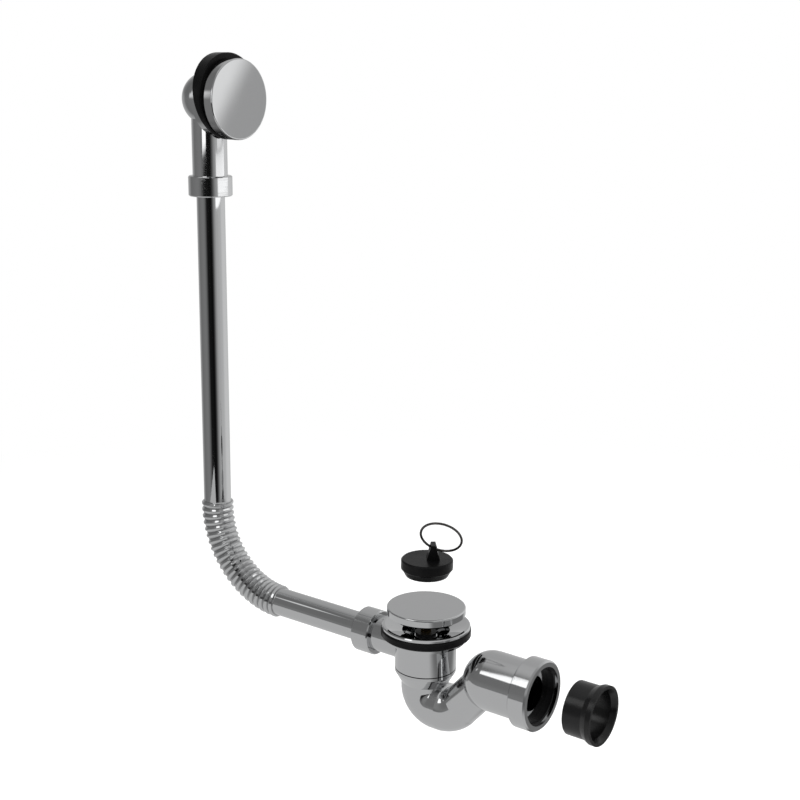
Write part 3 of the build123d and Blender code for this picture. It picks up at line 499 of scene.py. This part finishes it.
def makeReflector(facts, base):
    facing = math.radians(camera["azimuth"] - 90)
    around, rings = facts["around"], facts["rings"]
    points, faces = [], []
    for ring in rings:
        curl = max(0.0, (ring - facts["curlStart"]) / (rings[-1] - facts["curlStart"])) ** 2
        for k in range(around):
            angle = 2 * math.pi * k / around
            turn = (math.degrees(angle - facing) + 180) % 360 - 180
            side = max(0.0, 1 - ((turn - facts["curlMiddle"]) / facts["curlHalf"]) ** 2)
            points.append((ring * math.cos(angle), ring * math.sin(angle),
                           base + facts["rise"] + curl * facts["curlHeight"] * min(1.0, 2 * side)))
    for row in range(len(rings) - 1):
        for k in range(around):
            after = (k + 1) % around
            faces.append((row * around + k, (row + 1) * around + k, (row + 1) * around + after,
                          row * around + after))
    material, tree, surface, place = emptyMaterial("sheetGlow")
    across = addNode(tree, "ShaderNodeVectorMath", {"operation": "DOT_PRODUCT"}, i0=place,
                     i1=(math.cos(facts["endTurn"]), math.sin(facts["endTurn"]), 0.0))
    end = rangeNode(tree, across.outputs["Value"], facts["end"],
                    (facts["level"], facts["level"] * facts["endShare"]), soft=True)
    away = addNode(tree, "ShaderNodeVectorMath", {"operation": "DISTANCE"}, i0=place,
                   i1=(*facts["shade"], base))
    shade = rangeNode(tree, away.outputs["Value"], facts["shadeReach"], (facts["shadeShare"], 1.0), soft=True)
    glow = addNode(tree, "ShaderNodeEmission", Strength=mathNode(tree, "MULTIPLY", end, shade))
    tree.links.new(glow.outputs[0], surface)
    onlyMirrored(addMesh("reflectorSheet", points, faces, material))


# Light boxes that the chrome mirrors: flat panels whose light may slope across them, from the first level
# to the second over span, along slope. edge is the share of each half that fades out.
lightBoxes = [
    {"name": "backBox", "middle": (0.12, 0.313, 0.42), "towards": (-1.0, 0.313, 0.42), "size": (0.6, 0.2),
     "slope": (-0.8, -0.6), "span": (0.005, 0.036), "levels": (1.1, 0.49), "edge": 0.05},
    {"name": "rightBox", "middle": (0.121, 0.245, 0.29), "towards": (-1.0, 0.245, 0.29),
     "size": (0.61, 0.056), "slope": (0.0, 1.0), "span": (-0.03, 0.03), "levels": (1.7, 1.3), "edge": 0.1},
    {"name": "keyBox", "middle": (-0.13, -0.37, 0.41), "towards": (0.0, 0.0, 0.1), "size": (0.22, 0.26),
     "slope": (0.0, 1.0), "span": (-0.1, 0.1), "levels": (1.8, 1.8), "edge": 0.12},
    {"name": "leftBox", "middle": (-0.56, -0.36, 0.46), "towards": (-0.19, 0.0, 0.38), "size": (0.11, 0.2),
     "slope": (0.0, 1.0), "span": (-0.1, 0.1), "levels": (1.0, 1.0), "edge": 0.8},
]


def makeLightBox(facts):
    middle = Vector(facts["middle"])
    face = (Vector(facts["towards"]) - middle).normalized()
    side = Vector((0, 0, 1)).cross(face).normalized()
    rise = face.cross(side)
    wide, tall = facts["size"][0] / 2, facts["size"][1] / 2
    material, tree, surface, place = emptyMaterial(facts["name"] + "Glow")
    lean = addNode(tree, "ShaderNodeVectorMath", {"operation": "DOT_PRODUCT"}, i0=place,
                   i1=(*facts["slope"], 0.0))
    level = rangeNode(tree, lean.outputs["Value"], facts["span"], facts["levels"], soft=True)
    glow = addNode(tree, "ShaderNodeEmission", Strength=level)
    parts = addNode(tree, "ShaderNodeSeparateXYZ", i0=place)
    shares = []
    for axis, half in ((0, wide), (1, tall)):
        away = mathNode(tree, "ABSOLUTE", parts.outputs[axis])
        shares.append(rangeNode(tree, away, (half, half * (1 - facts["edge"])), (0.0, 1.0), soft=True))
    clear = tree.nodes.new("ShaderNodeBsdfTransparent")
    soft = addNode(tree, "ShaderNodeMixShader", i0=mathNode(tree, "MULTIPLY", *shares), i1=clear.outputs[0],
                   i2=glow.outputs[0])
    tree.links.new(soft.outputs[0], surface)
    corners = [(-wide, -tall, 0), (wide, -tall, 0), (wide, tall, 0), (-wide, tall, 0)]
    box = addMesh(facts["name"], corners, [(0, 1, 2, 3)], material)
    box.matrix_world = Matrix.Translation(middle) @ Matrix((side, rise, face)).transposed().to_4x4()
    onlyMirrored(box)


makeFloor(floorFacts)
makeReflector(sheetFacts, floorFacts["level"])
for facts in lightBoxes:
    makeLightBox(facts)
print("floor, reflector and light boxes placed")

# The studio: what the chrome mirrors, by direction. Turns are degrees to the right of the camera, change
# and ceilingStart are heights in degrees, and plain is the level that lights what isn't polished.
studio = {
    "facing": camera["azimuth"],
    "low": [(-180, .60), (-140, .50), (-126, .40), (-110, .23), (-60, .27), (-47, .22), (-37, .10),
            (-27, .012), (7, .006), (15, .05), (23, .19), (33, .40), (48, .57), (80, .66), (105, .85),
            (126, .85), (180, .60)],
    "high": [(-180, .52), (-160, .50), (-130, .25), (-110, .20), (-70, .22), (-45, .30), (-10, .25),
             (10, .25), (25, .45), (45, .38), (80, .40), (107, .60), (130, .80), (160, .60), (180, .52)],
    "ceiling": 0.62, "plain": 0.9, "change": (-2.0, 12.0), "ceilingStart": (48.0, 66.0),
}


def makeStudio(facts):
    world = bpy.data.worlds.new("studio")
    scene.world = world
    world.use_nodes = True
    tree = world.node_tree
    tree.nodes.clear()
    surface = tree.nodes.new("ShaderNodeOutputWorld").inputs[0]
    way = tree.nodes.new("ShaderNodeTexCoord").outputs["Generated"]
    parts = addNode(tree, "ShaderNodeSeparateXYZ", i0=way).outputs
    polar = mathNode(tree, "ARCTAN2", parts[1], parts[0])
    turned = mathNode(tree, "SUBTRACT", polar, math.radians(facts["facing"] - 90))
    turn = mathNode(tree, "WRAP", turned, math.pi, -math.pi)
    turn = mathNode(tree, "MULTIPLY_ADD", turn, 1 / (2 * math.pi), 0.5)
    height = mathNode(tree, "ARCSINE", parts[2])
    low, high = (rampNode(tree, turn, [(angle / 360 + 0.5, level) for angle, level in facts[key]])
                 for key in ("low", "high"))
    heights = ([math.radians(angle) for angle in facts[key]] for key in ("change", "ceilingStart"))
    rise, over = (rangeNode(tree, height, span, (0.0, 1.0), soft=True) for span in heights)
    ceiling = (facts["ceiling"], facts["ceiling"], facts["ceiling"], 1)
    mirrored = colourMix(tree, over, colourMix(tree, rise, low, high), ceiling)
    light = tree.nodes.new("ShaderNodeLightPath").outputs
    glossy = addNode(tree, "ShaderNodeBackground", Color=mirrored)
    matt = addNode(tree, "ShaderNodeBackground", Color=(1, 1, 1, 1), Strength=facts["plain"])
    white = addNode(tree, "ShaderNodeBackground", Color=(1, 1, 1, 1), Strength=1.0)
    first = addNode(tree, "ShaderNodeMixShader", i0=light["Is Glossy Ray"], i1=matt.outputs[0],
                    i2=glossy.outputs[0])
    last = addNode(tree, "ShaderNodeMixShader", i0=light["Is Camera Ray"], i1=first.outputs[0],
                   i2=white.outputs[0])
    tree.links.new(last.outputs[0], surface)


# Two wide lamps light what isn't polished. The chrome doesn't mirror them.
lamps = [
    {"name": "keyLamp", "place": (1.3, -1.1, 1.5), "size": 1.0, "watts": 14.0},
    {"name": "topLamp", "place": (-0.2, 0.3, 2.0), "size": 1.4, "watts": 10.0},
]
lampAim = (-0.05, 0.0, 0.15)


def makeLamp(facts):
    data = bpy.data.lights.new(facts["name"], "AREA")
    data.shape = "DISK"
    data.size = facts["size"]
    data.energy = facts["watts"]
    lamp = bpy.data.objects.new(facts["name"], data)
    scene.collection.objects.link(lamp)
    place = Vector(facts["place"])
    lamp.location = place
    lamp.rotation_euler = (place - Vector(lampAim)).to_track_quat("Z", "Y").to_euler()
    lamp.visible_glossy = False
    lamp.visible_camera = False


makeStudio(studio)
for facts in lamps:
    makeLamp(facts)
print("studio lit")
